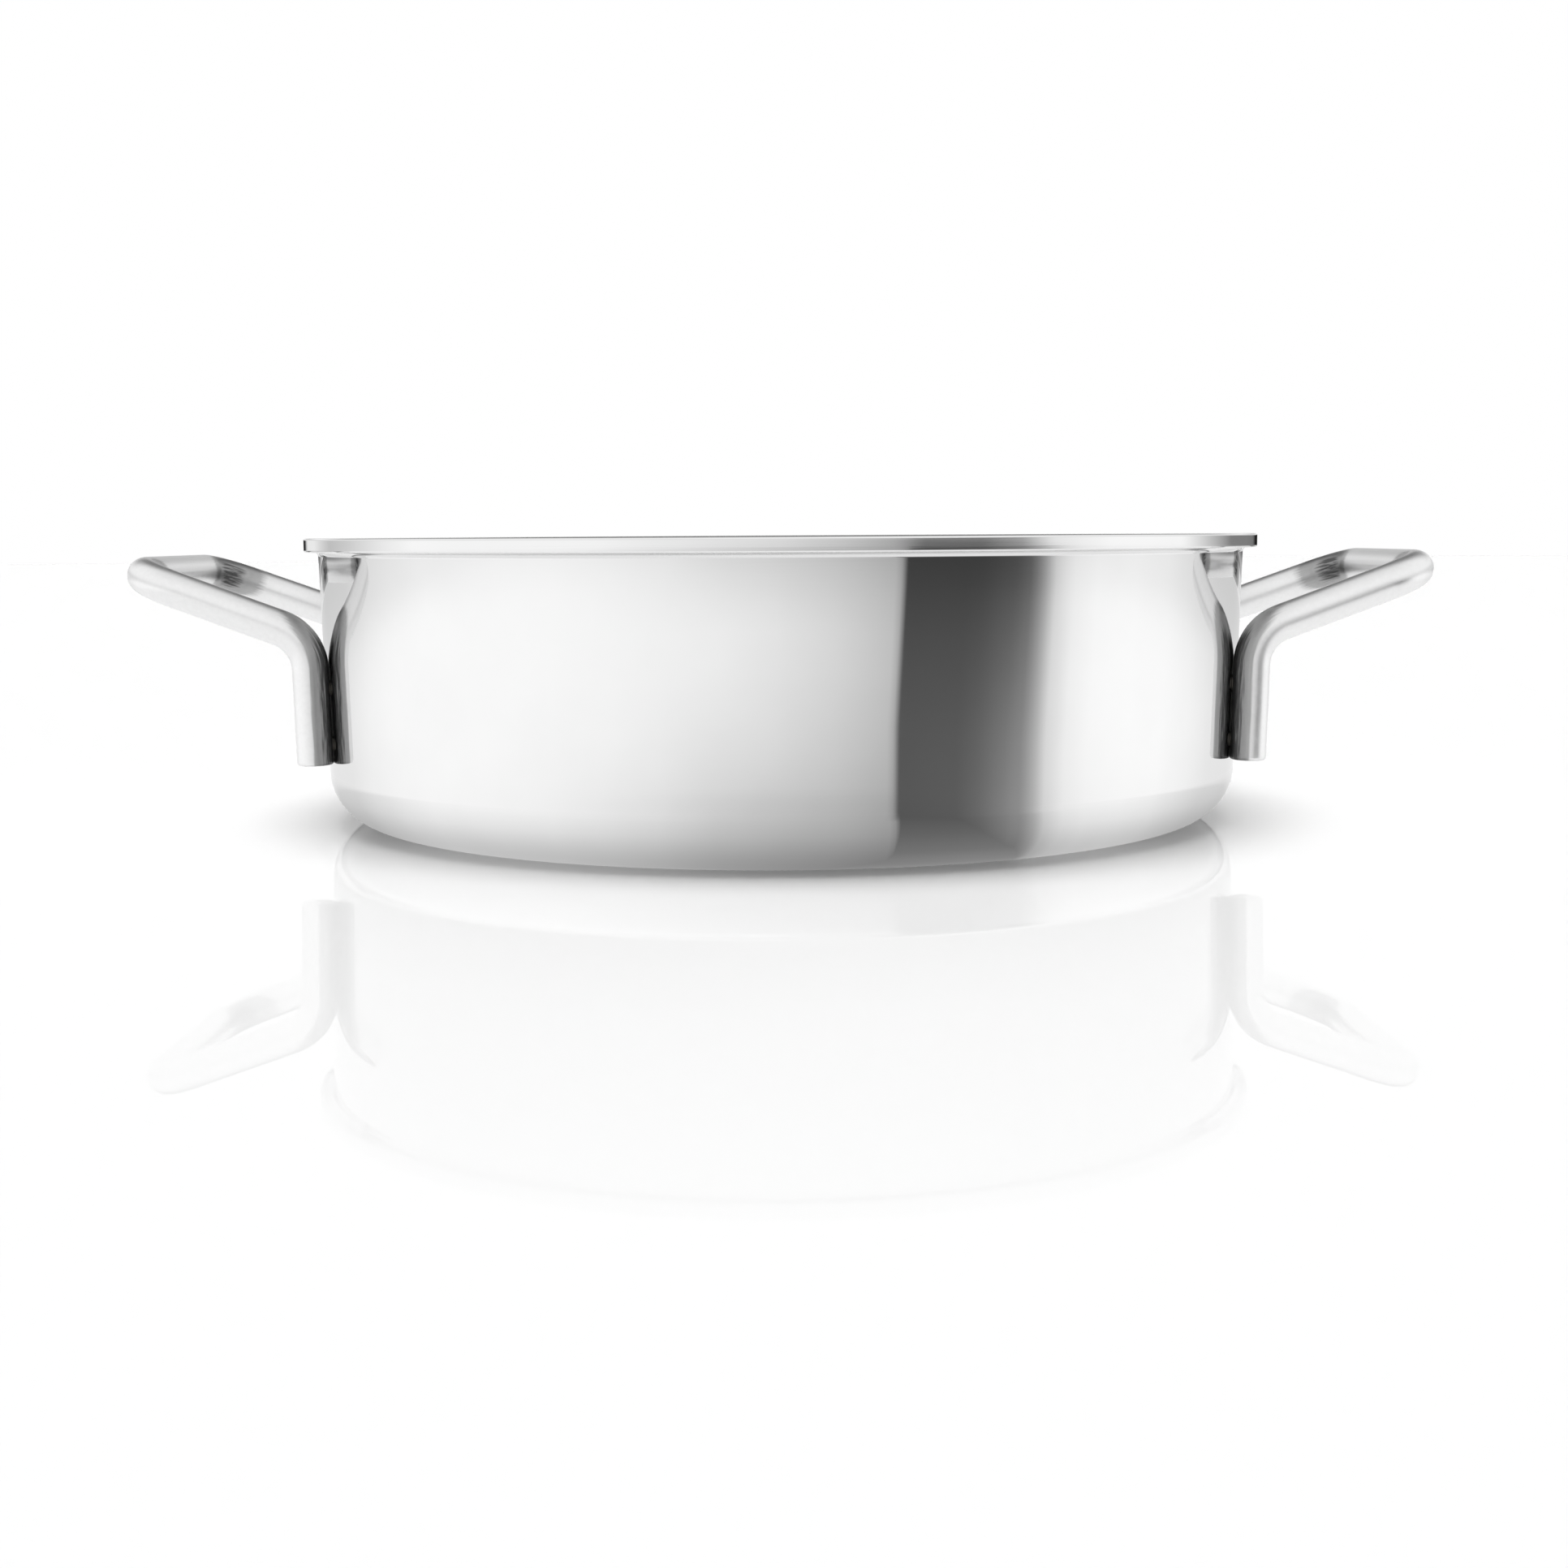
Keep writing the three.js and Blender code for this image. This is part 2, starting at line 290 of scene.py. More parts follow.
def acrylicTable():
    material, tree = newMaterial("acrylicSheetPolished")  # even white, sharp reflections at a low angle
    rays = addNode(tree, "LightPath")
    fresnel = addNode(tree, "Fresnel", {"IOR": table["acrylicIor"]})
    gloss = addNode(tree, "Math", {0: fresnel.outputs[0], 1: table["polish"]}, operation="MULTIPLY")
    white = addNode(tree, "BsdfDiffuse", {"Color": hexToLinear(table["white"])})
    mirror = addNode(tree, "BsdfAnisotropic", {"Roughness": 0.0, "Color": grey(1)})
    softWhite = addNode(tree, "SubsurfaceScattering", {
        "Color": hexToLinear(table["white"]), "Scale": table["softness"] * mm, "Radius": (1, 1, 1),
    }, falloff="BURLEY")
    seen = addNode(tree, "MixShader", {0: gloss.outputs[0], 1: softWhite.outputs[0], 2: mirror.outputs[0]})
    # metal shows the table from well above it, the panels at a low angle, and close to the base the table's
    # painted emission: a painted reflection of the panels in the metal's lower corner
    facing = addNode(tree, "LayerWeight", {"Blend": 0.5})
    sunk = addNode(tree, "Math", {0: 1.0, 1: facing.outputs["Facing"]}, operation="SUBTRACT")
    steep = addNode(tree, "MapRange", {
        "Value": sunk.outputs[0],
        "From Min": math.sin(math.radians(table["seenSteeper"][0])),
        "From Max": math.sin(math.radians(table["seenSteeper"][1]))})
    metalHeight = addNode(
        tree, "Math", {0: rays.outputs["Ray Length"], 1: sunk.outputs[0]}, operation="MULTIPLY")
    above, paintedGlowShare = [
        addNode(tree, "MapRange", {
            "Value": metalHeight.outputs[0],
            "From Min": table[name][0] * mm, "From Max": table[name][1] * mm})
        for name in ("seenAbove", "paintedGlowBelow")]
    clear = addNode(tree, "Math", {0: steep.outputs[0], 1: above.outputs[0]}, operation="MULTIPLY")
    again = addNode(  # after two or more turns of the ray
        tree, "Math", {0: rays.outputs["Ray Depth"], 1: 1.5}, operation="GREATER_THAN")
    shown = addNode(tree, "Math", {0: clear.outputs[0], 1: again.outputs[0]}, operation="MAXIMUM")
    through = addNode(tree, "BsdfTransparent")
    farOff = addNode(tree, "MixShader", {0: shown.outputs[0], 1: through.outputs[0], 2: white.outputs[0]})
    spot = addNode(tree, "NewGeometry")
    parts = addNode(tree, "SeparateXYZ", {"Vector": spot.outputs["Position"]})
    toFront = addNode(tree, "Math", {0: parts.outputs["Y"], 1: -1.0}, operation="MULTIPLY")
    azimuth = addNode(tree, "Math", {0: parts.outputs["X"], 1: toFront.outputs[0]}, operation="ARCTAN2")
    reach = addNode(tree, "VectorMath", {0: spot.outputs["Position"]}, operation="LENGTH")
    stretchOut = addNode(
        tree, "Math", {0: rays.outputs["Ray Length"], 1: reach.outputs["Value"]}, operation="DIVIDE")
    offFront = addNode(tree, "Math", {0: azimuth.outputs[0]}, operation="ABSOLUTE")
    turned = addNode(
        tree, "Math", {0: offFront.outputs[0], 1: table["turnedBy"][1], 2: table["turnedBy"][0]},
        operation="MULTIPLY_ADD")
    narrowing = addNode(
        tree, "Math", {0: stretchOut.outputs[0], 1: table["turnedBy"][0] - 1, 2: 1.0},
        operation="MULTIPLY_ADD")
    spread = addNode(tree, "Math", {0: turned.outputs[0], 1: narrowing.outputs[0]}, operation="DIVIDE")
    mirrored = addNode(tree, "Math", {0: azimuth.outputs[0], 1: spread.outputs[0]}, operation="MULTIPLY")
    panels = panelsBelow(tree, mirrored.outputs[0], sunk.outputs[0])
    top = table["baseFade"][-1][0]
    upCorner = addNode(tree, "MapRange", {"Value": metalHeight.outputs[0], "From Max": top * mm})
    fade, least = [
        addNode(tree, "ValToRGB", {"Fac": upCorner.outputs[0]}, stops=[(h / top, grey(v)) for h, v in stops])
        for stops in (table["baseFade"], table["baseLeast"])]
    faded = addNode(
        tree, "MixRGB", {"Fac": 1.0, "Color1": panels, "Color2": fade.outputs[0]}, blend_type="MULTIPLY")
    lifted = addNode(tree, "MixRGB", {
        "Fac": 1.0, "Color1": faded.outputs[0], "Color2": least.outputs[0]}, blend_type="LIGHTEN")
    # painted reflection: the table gives off the panels' image as light, though it is no lamp, seen only by
    # rays from the metal
    paintedPanelGlow = addNode(tree, "Emission", {"Color": lifted.outputs[0]})
    inMetal = addNode(tree, "MixShader", {0: paintedGlowShare.outputs[0], 1: farOff.outputs[0], 2: paintedPanelGlow.outputs[0]})
    surface = addNode(
        tree, "MixShader", {0: rays.outputs["Is Glossy Ray"], 1: seen.outputs[0], 2: inMetal.outputs[0]})
    addNode(tree, "OutputMaterial", {"Surface": surface.outputs[0]})
    mesh = bpy.data.meshes.new("tableTop")
    shape = bmesh.new()
    bmesh.ops.create_circle(
        shape, cap_ends=True, segments=table["sides"], radius=table["radius"] * mm,
        matrix=Matrix.Translation((0, 0, -table["drop"] * mm)))
    shape.to_mesh(mesh)
    shape.free()
    mesh.materials.append(material)
    tableTop = bpy.data.objects.new("tableTop", mesh)
    scene.collection.objects.link(tableTop)


acrylicTable()
print("table laid")


# Bowl: one bonded sheet with a rounded corner and a flat rim

sheet = {
    "panHeight": 74.6,  # mm
    "rimRadius": 126,
    "rimOverhang": 3.6,
    "wallTaper": math.radians(1.5),  # leaning outward
    "cornerRadius": 14.2,
    "rimBendRadius": 1.2,
    "thickness": 3.5,
    "shellThickness": 0.6,
    "linerThickness": 0.6,
    "coreGap": 0.1,  # line between two layers
    "lipThickness": 1.2,  # of the liner's edge, turned down over the rim
    "lipRounding": 0.5,
    "sides": 288,
    "cornerSteps": 24,
    "bendSteps": 10,
    "lipSteps": 6,
    "ringStep": 6,  # mm between rings on the flat stretches
}
sharpEdge = 24  # degrees between two faces, from which the edge is drawn sharp
rimUnderside = sheet["panHeight"] - sheet["thickness"]


def wallRadius(height):
    wallTop = sheet["rimRadius"] - sheet["rimOverhang"]
    return wallTop - (rimUnderside - height) * math.tan(sheet["wallTaper"])


def arcPoints(centre, radius, fromAngle, toAngle, steps):
    angles = [fromAngle + (toAngle - fromAngle) * i / steps for i in range(steps + 1)]
    return [(centre[0] + radius * math.cos(a), centre[1] + radius * math.sin(a)) for a in angles]


def stretch(start, end):
    count = max(1, round(math.dist(start, end) / sheet["ringStep"]))
    return [tuple(s + (e - s) * i / count for s, e in zip(start, end)) for i in range(1, count)]


def sheetLine(depth, endRadius):
    taper, corner, bend = sheet["wallTaper"], sheet["cornerRadius"], sheet["rimBendRadius"]
    cornerTop = corner - corner * math.sin(taper)
    baseRadius = wallRadius(cornerTop) - corner * math.cos(taper)
    bendStart = rimUnderside - bend + bend * math.sin(taper)
    bendRadius = wallRadius(bendStart) + bend * math.cos(taper)
    foot = arcPoints((baseRadius, corner), corner - depth, -math.pi / 2, -taper, sheet["cornerSteps"])
    neck = arcPoints(
        (bendRadius, rimUnderside - bend), bend + depth, math.pi - taper, math.pi / 2, sheet["bendSteps"])
    centre = (0, depth)
    return [
        centre, *stretch(centre, foot[0]), *foot, *stretch(foot[-1], neck[0]), *neck,
        (endRadius, rimUnderside + depth),
    ]


def turnedPiece(name, line):
    shape = bmesh.new()
    rings = []
    turns = [2 * math.pi * i / sheet["sides"] for i in range(sheet["sides"])]
    for radius, height in line:
        spots = turns if radius else [0]
        rings.append([
            shape.verts.new((radius * math.cos(a) * mm, radius * math.sin(a) * mm, height * mm))
            for a in spots])
    for lower, upper in zip(rings, rings[1:]):
        for i in range(sheet["sides"]):
            j = (i + 1) % sheet["sides"]
            corners = [(lower, i), (lower, j), (upper, j), (upper, i)]  # three different ones at the axis
            shape.faces.new(dict.fromkeys(ring[k % len(ring)] for ring, k in corners))
    return finishedPiece(name, shape)


def finishedPiece(name, shape):
    bmesh.ops.recalc_face_normals(shape, faces=shape.faces)
    for face in shape.faces:
        face.smooth = True
    for edge in shape.edges:
        edge.smooth = edge.calc_face_angle(0) < math.radians(sharpEdge)
    mesh = bpy.data.meshes.new(name)
    shape.to_mesh(mesh)
    shape.free()
    piece = bpy.data.objects.new(name, mesh)
    scene.collection.objects.link(piece)
    weighted = piece.modifiers.new("evenShading", "WEIGHTED_NORMAL")
    weighted.keep_sharp = True
    return piece


def shellPiece():
    edge = sheet["rimRadius"] - sheet["lipThickness"] - sheet["coreGap"]
    outside = sheetLine(0, edge)
    inside = sheetLine(sheet["shellThickness"], edge)
    return turnedPiece("outerShellSmooth", outside + inside[::-1])


def linerPiece():
    rim, lip, rounding = sheet["rimRadius"], sheet["lipThickness"], sheet["lipRounding"]
    outside = sheetLine(sheet["thickness"] - sheet["linerThickness"], rim - lip)
    inside = sheetLine(sheet["thickness"], rim - rounding)
    lower = arcPoints((rim - rounding, rimUnderside + rounding), rounding, -math.pi / 2, 0, sheet["lipSteps"])
    upper = arcPoints(
        (rim - rounding, sheet["panHeight"] - rounding), rounding, 0, math.pi / 2, sheet["lipSteps"])
    line = outside + [(rim - lip, rimUnderside)] + lower + upper[:-1] + inside[::-1]
    return turnedPiece("innerLinerSmooth", line)


shell = shellPiece()
liner = linerPiece()
print("bowl turned")


# Handles: one bent rod each, ground flat where the legs meet the wall

rod = {
    "diameter": 9.2,  # mm
    "legSpread": 84,
    "tipSpread": 77,
    "tipReach": 163.4,  # from the pan's axis
    "tipHeight": 65.6,
    "kneeHeight": 49.6,
    "legFoot": 17.5,
    "kneeBend": 11.5,  # radius at the rod's middle
    "tipBend": 12,
    "legFlat": 0.2,  # ground off the leg
    "standOff": 4.5,  # from the wall to the leg's middle
    "footRounding": 0.8,
    "dullAndShadeEdge": (-0.35, 0.45),  # cosine from the wall's side, where the rougher side, darkened as painted shade, begins and is full
    "dullAndShadeRun": (26, 44),  # mm along the rod from its foot, where that rougher, painted-shade side begins to fade and ends
    "dullAndShadeBend": (23, 4),  # mm from the tip's corner, where the rougher inside of the bend, darkened as painted shade, begins and is full
    "dullAndShadeBendEdge": (0.0, 0.95),  # cosine from the inside of the bend, likewise
    "dullAndShadeBendShare": 0.95,
    "sides": 64,
    "step": 0.8,  # mm between rings
    "bendSteps": 8,  # the least in a bend
    "footSteps": 6,
}


def smoothStep(value, low, high):
    share = min(1.0, max(0.0, (value - low) / (high - low)))
    return share * share * (3 - 2 * share)


def legPoint(azimuth, height):
    radius = wallRadius(height) + rod["standOff"] / math.cos(sheet["wallTaper"])
    return Vector((radius * math.cos(azimuth), radius * math.sin(azimuth), height))


def bentAxis(corners, radii):
    points = []
    start = corners[0]
    for i in range(1, len(corners) - 1):
        back = (corners[i - 1] - corners[i]).normalized()
        ahead = (corners[i + 1] - corners[i]).normalized()
        half = back.angle(ahead) / 2
        setBack = radii[i - 1] / math.tan(half)
        centre = corners[i] + (back + ahead).normalized() * radii[i - 1] / math.sin(half)
        bendStart = corners[i] + back * setBack
        bendEnd = corners[i] + ahead * setBack
        count = max(1, round((bendStart - start).length / rod["step"]))
        points += [start.lerp(bendStart, k / count) for k in range(count)]
        turn = math.pi - 2 * half
        count = max(rod["bendSteps"], round(radii[i - 1] * turn / rod["step"]))
        spoke = bendStart - centre
        across = bendEnd - centre
        for k in range(count):
            share = k / count
            arm = spoke * math.sin((1 - share) * turn) + across * math.sin(share * turn)
            points.append(centre + arm / math.sin(turn))
        start = bendEnd
    count = max(1, round((corners[-1] - start).length / rod["step"]))
    points += [start.lerp(corners[-1], k / count) for k in range(count + 1)]
    return points


def footRings(end, inward):
    radius, rounding = rod["diameter"] / 2, rod["footRounding"]
    rings = []
    for k in range(rod["footSteps"]):
        angle = math.pi / 2 * k / rod["footSteps"]
        rings.append((
            end + inward * rounding * (1 - math.cos(angle)), radius - rounding + rounding * math.sin(angle)))
    return rings


def handlePiece(name, turn):
    radius = rod["diameter"] / 2
    dullAndShadeFrom, dullAndShadeFull = rod["dullAndShadeEdge"]
    kneeRadius = legPoint(0, rod["kneeHeight"]).x
    azimuth = math.asin(rod["legSpread"] / 2 / kneeRadius)
    corners = [
        legPoint(-azimuth, rod["legFoot"]),
        legPoint(-azimuth, rod["kneeHeight"]),
        Vector((rod["tipReach"], -rod["tipSpread"] / 2, rod["tipHeight"])),
        Vector((rod["tipReach"], rod["tipSpread"] / 2, rod["tipHeight"])),
        legPoint(azimuth, rod["kneeHeight"]),
        legPoint(azimuth, rod["legFoot"]),
    ]
    firstUp = (corners[1] - corners[0]).normalized()
    lastUp = (corners[-2] - corners[-1]).normalized()
    inset = corners[:]
    inset[0] = corners[0] + firstUp * rod["footRounding"]
    inset[-1] = corners[-1] + lastUp * rod["footRounding"]
    axis = bentAxis(inset, [rod["kneeBend"], rod["tipBend"], rod["tipBend"], rod["kneeBend"]])
    stations = [  # centre and radius of each ring
        *footRings(corners[0], firstUp), *[(point, radius) for point in axis],
        *footRings(corners[-1], lastUp)[::-1]]
    shape = bmesh.new()
    dullAndShadeLayer = shape.verts.layers.float.new("dullAndShade")
    mapLayer = shape.loops.layers.uv.new("rodMap")
    legs = []
    for side in (-1, 1):
        away = Vector((
            math.cos(sheet["wallTaper"]) * math.cos(azimuth),
            math.cos(sheet["wallTaper"]) * math.sin(azimuth) * side,
            -math.sin(sheet["wallTaper"])))
        legs.append((side, legPoint(azimuth * side, rod["legFoot"]), away))
    normal = legs[0][2].copy()
    rings = []
    runs = []
    run = 0.0
    length = sum((b[0] - a[0]).length for a, b in zip(stations, stations[1:]))
    for k, (centre, ringRadius) in enumerate(stations):
        before = stations[max(k - 1, 0)][0]
        after = stations[min(k + 1, len(stations) - 1)][0]
        along = (after - before).normalized() if (after - before).length > 1e-6 else firstUp
        normal = (normal - along * normal.dot(along)).normalized()
        other = along.cross(normal)
        run += (centre - before).length
        runs.append(run)
        dullAndShadeHere = 1 - smoothStep(min(run, length - run), *rod["dullAndShadeRun"])
        ring = []
        for i in range(rod["sides"]):
            angle = 2 * math.pi * i / rod["sides"]
            outward = normal * math.cos(angle) + other * math.sin(angle)
            spot = centre + outward * ringRadius
            inward = -Vector((spot.x, spot.y, 0)).normalized()
            for side, base, away in legs:
                depth = (spot - base).dot(away) - (rod["legFlat"] - radius)
                if side * spot.y > 0 and depth < 0:
                    spot = spot - away * depth
            vert = shape.verts.new(turn @ (spot * mm))
            # painted shade: the side facing the wall, and the inside of each tip bend, get a darker colour as
            # well as a rougher finish
            towardsWall = (outward.dot(inward) - dullAndShadeFrom) / (dullAndShadeFull - dullAndShadeFrom)
            dullAndShadedSide = dullAndShadeHere * min(1, max(0, towardsWall))
            tip = corners[2] if spot.y < 0 else corners[3]
            inBend = Vector((-1, -math.copysign(1, spot.y), 0)).normalized()
            bendDullAndShade = rod["dullAndShadeBendShare"] * smoothStep((centre - tip).length, *rod["dullAndShadeBend"]) ** 2
            bendDullAndShade *= smoothStep(outward.dot(inBend), *rod["dullAndShadeBendEdge"])
            vert[dullAndShadeLayer] = max(dullAndShadedSide, bendDullAndShade)
            ring.append(vert)
        rings.append(ring)
    around = math.pi * rod["diameter"]
    for k in range(len(rings) - 1):
        for i in range(rod["sides"]):
            j = (i + 1) % rod["sides"]
            face = shape.faces.new((rings[k][i], rings[k][j], rings[k + 1][j], rings[k + 1][i]))
            places = [(i, k), (i + 1, k), (i + 1, k + 1), (i, k + 1)]
            for loop, (turnStep, runStep) in zip(face.loops, places):
                loop[mapLayer].uv = (turnStep / rod["sides"] * around * mm, runs[runStep] * mm)
    for ring in (rings[0], rings[-1]):
        middle = shape.verts.new(sum((v.co for v in ring), Vector()) / len(ring))
        for i in range(len(ring)):
            shape.faces.new((ring[i], ring[(i + 1) % len(ring)], middle))
    return finishedPiece(name, shape)


rightHandle = handlePiece("rightHandleRod", Matrix.Identity(3))
leftHandle = handlePiece("leftHandleRod", Matrix.Rotation(math.pi, 3, "Z"))
for handle in (rightHandle, leftHandle):
    handle.visible_shadow = False  # the wide light of the photo leaves no shadow of the thin rods
print("handles bent")


# Finishes

noiseSpan = (0.6, 1.4)  # what two noises added come to, most of the time

shellFinish = {
    "colour": "#e6e6e6",
    "shade": "#dcdcdc",
    "lineSpacing": 0.5,  # mm, drawn coarser than the real 0.05 mm scratch lines so that they show
    "lineLength": 30,  # mm
    "smudgeSize": 35,  # mm
    "roughness": 0.035,
    "roughnessSpread": 0.03,
    "lineDepth": 0.0003,  # mm
}


def turnedSteel(name, finish):
    material, tree = newMaterial(name)
    place = addNode(tree, "TexCoord").outputs["Object"]
    parts = addNode(tree, "SeparateXYZ", {"Vector": place})
    flat = addNode(tree, "CombineXYZ", {"X": parts.outputs["X"], "Y": parts.outputs["Y"]})
    radius = addNode(tree, "VectorMath", {0: flat.outputs[0]}, operation="LENGTH")
    # radius plus height rises all the way from the middle of the base to the rim
    alongLine = addNode(tree, "Math", {0: radius.outputs["Value"], 1: parts.outputs["Z"]}, operation="ADD")
    across = addNode(
        tree, "Math", {0: alongLine.outputs[0], 1: finish["lineLength"] / finish["lineSpacing"]},
        operation="MULTIPLY")
    streaks = addNode(tree, "CombineXYZ", {
        "X": parts.outputs["X"], "Y": parts.outputs["Y"], "Z": across.outputs[0]})
    lines = addNode(tree, "TexNoise", {
        "Vector": streaks.outputs[0], "Scale": 1 / (finish["lineLength"] * mm),
        "Detail": 3.0, "Roughness": 0.6})
    smudges = addNode(tree, "TexNoise", {
        "Vector": place, "Scale": 1 / (finish["smudgeSize"] * mm), "Detail": 4.0, "Roughness": 0.55})
    tone = addNode(tree, "MixRGB", {
        "Fac": smudges.outputs["Fac"],
        "Color1": hexToLinear(finish["shade"]), "Color2": hexToLinear(finish["colour"])})
    grain = addNode(tree, "Math", {0: lines.outputs["Fac"], 1: smudges.outputs["Fac"]}, operation="ADD")
    rough = addNode(tree, "MapRange", {
        "Value": grain.outputs[0], "From Min": noiseSpan[0], "From Max": noiseSpan[1],
        "To Min": finish["roughness"] - finish["roughnessSpread"] / 2,
        "To Max": finish["roughness"] + finish["roughnessSpread"] / 2})
    roughSocket = rough.outputs[0]
    if "rimRoughness" in finish:
        onRim = addNode(tree, "MapRange", {
            "Value": radius.outputs["Value"],
            "From Min": finish["rimFrom"][0] * mm, "From Max": finish["rimFrom"][1] * mm})
        roughSocket = addNode(tree, "Mix", {
            "Factor": onRim.outputs[0], "A": rough.outputs[0], "B": finish["rimRoughness"]}).outputs["Result"]
    bump = addNode(tree, "Bump", {
        "Height": lines.outputs["Fac"], "Distance": finish["lineDepth"] * mm, "Strength": 1.0})
    steel = addNode(tree, "BsdfPrincipled", {
        "Base Color": tone.outputs[0], "Metallic": 1.0, "Roughness": roughSocket, "Normal": bump.outputs[0]})
    addNode(tree, "OutputMaterial", {"Surface": steel.outputs[0]})
    return material


linerFinish = {
    "colour": "#ececec",
    "shade": "#e2e2e2",
    "lineSpacing": 0.7,  # mm, drawn coarser than the real 0.1 mm brush lines so that they show
    "lineLength": 60,  # mm
    "smudgeSize": 40,  # mm
    "roughness": 0.26,
    "roughnessSpread": 0.08,
    "lineDepth": 0.0025,  # mm
    "rimRoughness": 0.06,  # the rim's edge is polished
    "rimFrom": (122.5, 123.5),  # mm from the axis
}

rodFinish = {
    "colour": "#f1f1f1",
    "shade": "#e5e5e5",
    # painted shade: brightness from the polished side, 0, to the dullest and most shaded, 1
    "dullAndShade": [(0, 1), (0.08, 0.95), (0.2, 0.5), (0.45, 0.44), (0.65, 0.46), (0.85, 0.28), (1, 0.12)],
    "streakWidth": 0.5,  # mm, across the streaks of the rougher side's painted shade
    "streakLength": 8,  # mm
    "streakNoise": (0.3, 0.7),
    "streakShare": (0.75, 1.25),  # times the dullness, over that span of the noise
    "dullRoughness": 0.42,
    "grainWidth": 0.35,  # mm, drawn coarser than the real belt scratches so that it shows
    "grainLength": 9,  # mm
    "mottleSize": 1.2,  # mm
    "roughness": 0.32,
    "roughnessSpread": 0.06,
    "grainDepth": 0.0006,  # mm
}


def rodSteel():
    # stainless steel rod, drawn, bent and belt polished: a soft sheen along the rod, rougher towards the wall
    # and inside the tip bends, where its colour is also darkened as painted shade
    material, tree = newMaterial("stainlessRodBeltPolished")
    place = addNode(tree, "TexCoord").outputs["Object"]
    runMap = addNode(tree, "UVMap", uv_map="rodMap")
    stretched, streakMap = [
        addNode(tree, "VectorMath", {
            0: runMap.outputs[0],
            1: (1 / (rodFinish[name + "Width"] * mm), 1 / (rodFinish[name + "Length"] * mm), 1),
        }, operation="MULTIPLY")
        for name in ("grain", "streak")]
    grain = addNode(tree, "TexNoise", {"Vector": stretched.outputs[0], "Scale": 1.0, "Detail": 2.0})
    mottle = addNode(tree, "TexNoise", {
        "Vector": place, "Scale": 1 / (rodFinish["mottleSize"] * mm), "Detail": 3.0, "Roughness": 0.6})
    tone = addNode(tree, "MixRGB", {
        "Fac": mottle.outputs["Fac"],
        "Color1": hexToLinear(rodFinish["shade"]), "Color2": hexToLinear(rodFinish["colour"])})
    both = addNode(tree, "Math", {0: grain.outputs["Fac"], 1: mottle.outputs["Fac"]}, operation="ADD")
    rough = addNode(tree, "MapRange", {
        "Value": both.outputs[0], "From Min": noiseSpan[0], "From Max": noiseSpan[1],
        "To Min": rodFinish["roughness"] - rodFinish["roughnessSpread"] / 2,
        "To Max": rodFinish["roughness"] + rodFinish["roughnessSpread"] / 2})
    dullAndShadedSide = addNode(tree, "Attribute", attribute_name="dullAndShade")
    streaks = addNode(tree, "TexNoise", {"Vector": streakMap.outputs[0], "Scale": 1.0, "Detail": 3.0})
    patchy = addNode(tree, "MapRange", {
        "Value": streaks.outputs["Fac"],
        "From Min": rodFinish["streakNoise"][0], "From Max": rodFinish["streakNoise"][1],
        "To Min": rodFinish["streakShare"][0], "To Max": rodFinish["streakShare"][1]})
    dullAndShadeShare = addNode(
        tree, "Math", {0: dullAndShadedSide.outputs["Fac"], 1: patchy.outputs[0]},
        operation="MULTIPLY", use_clamp=True)
    # painted shade: the rod's colour darkened by that share
    paintedShade = addNode(
        tree, "ValToRGB", {"Fac": dullAndShadeShare.outputs[0]}, stops=[(d, grey(v)) for d, v in rodFinish["dullAndShade"]])
    toneShaded = addNode(tree, "MixRGB", {
        "Fac": 1.0, "Color1": tone.outputs[0], "Color2": paintedShade.outputs[0]}, blend_type="MULTIPLY")
    roughDulled = addNode(tree, "Mix", {
        "Factor": dullAndShadeShare.outputs[0], "A": rough.outputs[0], "B": rodFinish["dullRoughness"]})
    bump = addNode(tree, "Bump", {
        "Height": grain.outputs["Fac"], "Distance": rodFinish["grainDepth"] * mm, "Strength": 1.0})
    steel = addNode(tree, "BsdfPrincipled", {
        "Base Color": toneShaded.outputs[0], "Metallic": 1.0,
        "Roughness": roughDulled.outputs["Result"], "Normal": bump.outputs[0]})
    addNode(tree, "OutputMaterial", {"Surface": steel.outputs[0]})
    return material


coreFinish = {
    "colour": "#d3d5d6",
    "shade": "#b9bbbc",
    "rollWidth": 0.4,  # mm, drawn coarser than real roll marks so that they show
    "rollLength": 20,  # mm
    "roughness": (0.3, 0.5),
}


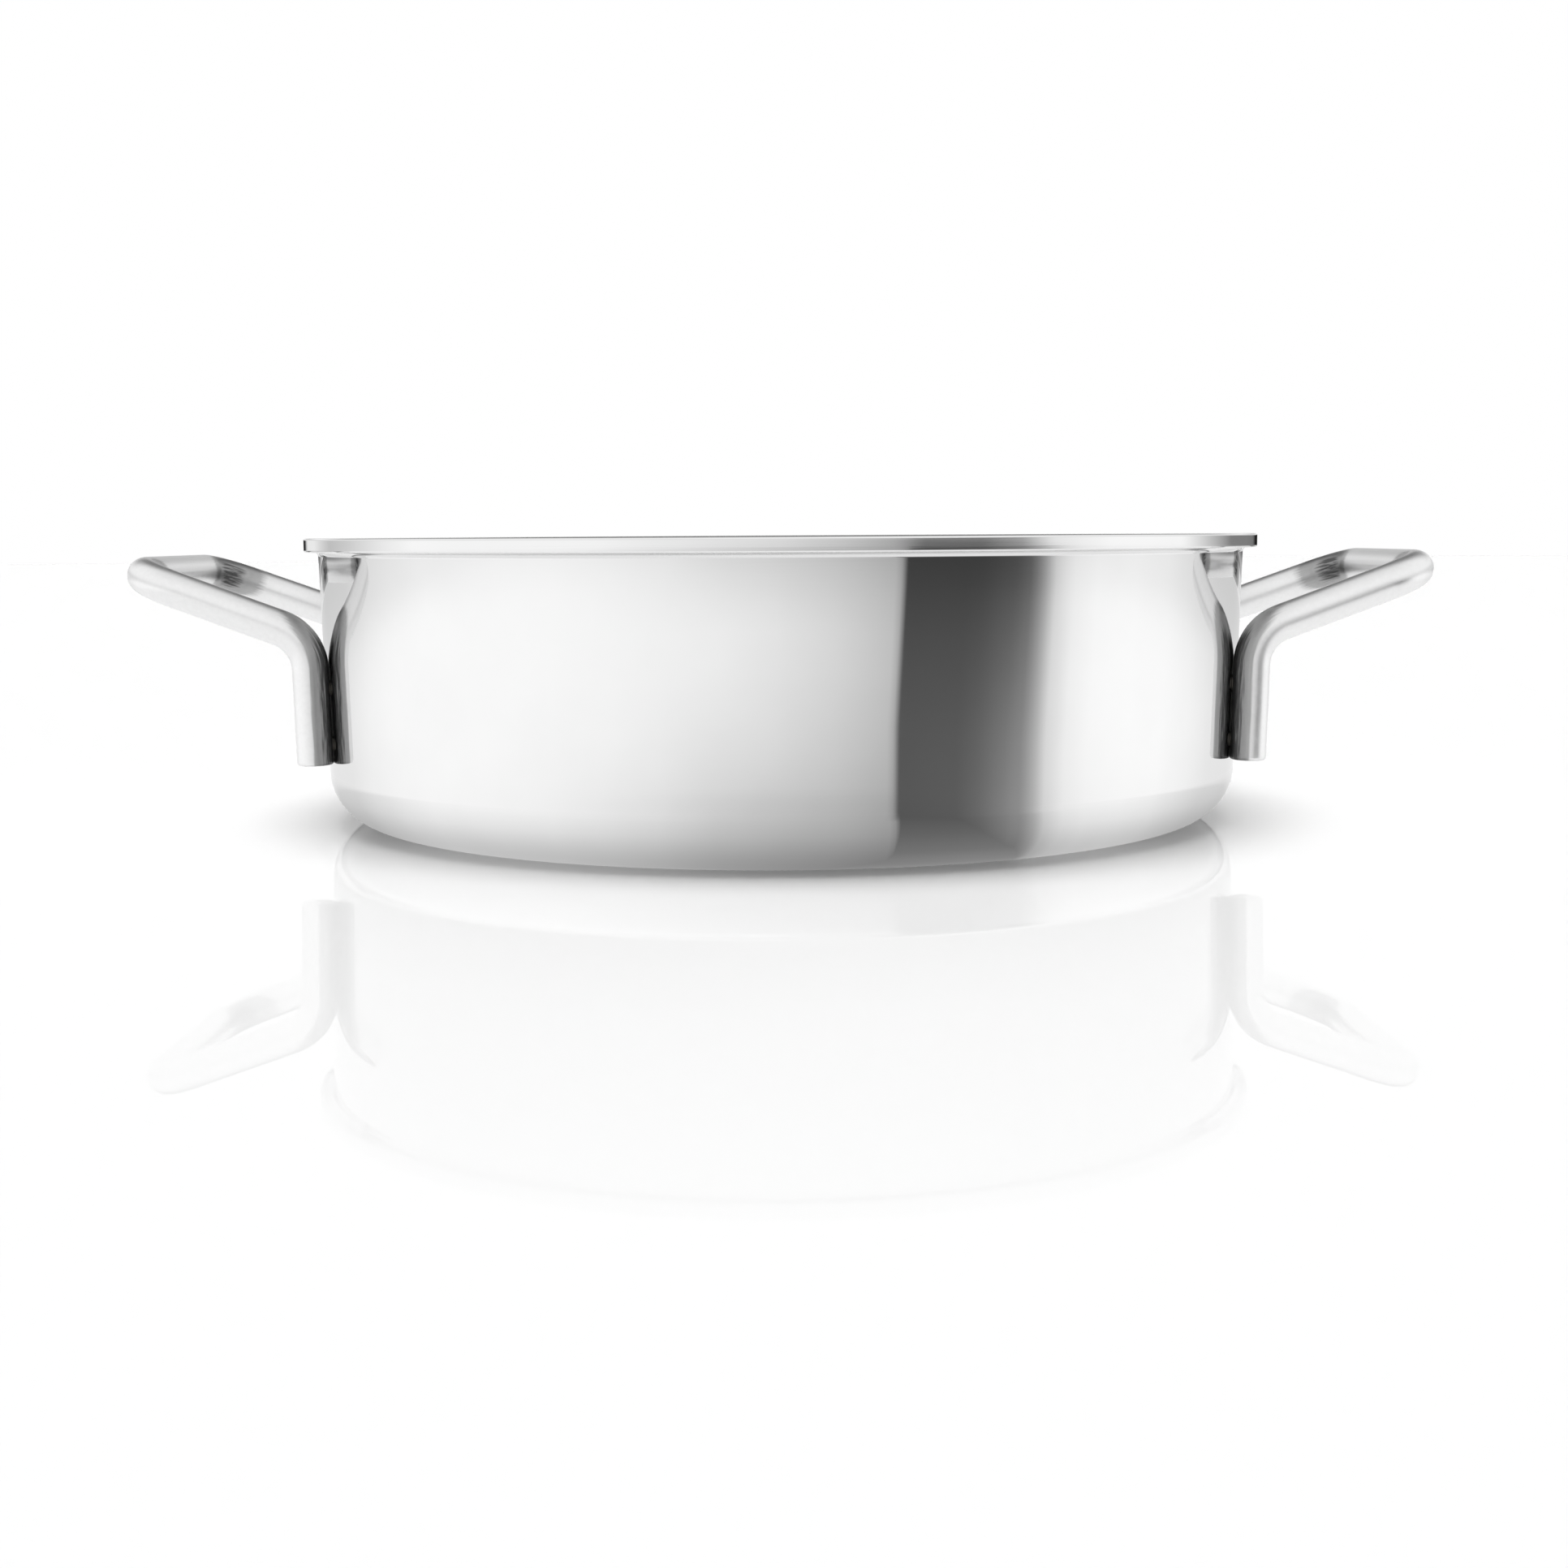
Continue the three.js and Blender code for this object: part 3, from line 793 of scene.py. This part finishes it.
def coreAluminium():
    # bare aluminium sheet, rolled: pale, with straight soft lines
    material, tree = newMaterial("aluminiumSheetRolled")
    place = addNode(tree, "TexCoord").outputs["Object"]
    along, across = [1 / (coreFinish[name] * mm) for name in ("rollLength", "rollWidth")]
    stretched = addNode(tree, "VectorMath", {0: place, 1: (along, across, across)}, operation="MULTIPLY")
    rolls = addNode(tree, "TexNoise", {"Vector": stretched.outputs[0], "Scale": 1.0, "Detail": 2.0})
    tone = addNode(tree, "MixRGB", {
        "Fac": rolls.outputs["Fac"],
        "Color1": hexToLinear(coreFinish["shade"]), "Color2": hexToLinear(coreFinish["colour"])})
    rough = addNode(tree, "MapRange", {
        "Value": rolls.outputs["Fac"],
        "To Min": coreFinish["roughness"][0], "To Max": coreFinish["roughness"][1]})
    metal = addNode(tree, "BsdfPrincipled", {
        "Base Color": tone.outputs[0], "Metallic": 1.0, "Roughness": rough.outputs[0]})
    addNode(tree, "OutputMaterial", {"Surface": metal.outputs[0]})
    return material


weldTintAndGapShade = {
    # dark grey: heat tint, darkened further as painted shade of the gap between leg and wall
    "colour": "#4f4d4a",
    "tint": "#3b3833",
    "patchSize": 1.5,  # mm
    "roughness": (0.35, 0.6),
}


def weldSteel():
    # stainless steel, as welded: grey with a straw heat tint, slightly rough, and darkened as painted shade
    # of the narrow gap between leg and wall where the welds sit
    material, tree = newMaterial("stainlessWeldTintedAndGapShaded")
    place = addNode(tree, "TexCoord").outputs["Object"]
    patches = addNode(tree, "TexNoise", {
        "Vector": place, "Scale": 1 / (weldTintAndGapShade["patchSize"] * mm), "Detail": 4.0})
    tone = addNode(tree, "MixRGB", {
        "Fac": patches.outputs["Fac"],
        "Color1": hexToLinear(weldTintAndGapShade["colour"]), "Color2": hexToLinear(weldTintAndGapShade["tint"])})
    rough = addNode(tree, "MapRange", {
        "Value": patches.outputs["Fac"],
        "To Min": weldTintAndGapShade["roughness"][0], "To Max": weldTintAndGapShade["roughness"][1]})
    metal = addNode(tree, "BsdfPrincipled", {
        "Base Color": tone.outputs[0], "Metallic": 1.0, "Roughness": rough.outputs[0]})
    addNode(tree, "OutputMaterial", {"Surface": metal.outputs[0]})
    return material


# stainless steel sheet, ground round the axis and polished: mirror-like, faintly streaked
shellSteel = turnedSteel("stainlessSheetPolished", shellFinish)
# stainless steel sheet, brushed round the axis: satin, with fine rings
linerSteel = turnedSteel("stainlessSheetSatinBrushed", linerFinish)
handleSteel = rodSteel()

for piece, node, slot, steel in (
    (shell, "outer_shell", "shell_steel", shellSteel),
    (liner, "inner_liner", "liner_steel", linerSteel),
    (rightHandle, "right_handle", "handle_steel", handleSteel),
    (leftHandle, "left_handle", "handle_steel", handleSteel),
):
    piece.data.materials.append(steel)
    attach(piece, "root")
    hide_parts(node)

coreMetal = coreAluminium()
weldMetal = weldSteel()
for name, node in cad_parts.items():
    if name == "aluminium_core" or name.endswith("_weld"):
        node.data.materials.clear()
        node.data.materials.append(coreMetal if name == "aluminium_core" else weldMetal)
print("finishes applied")
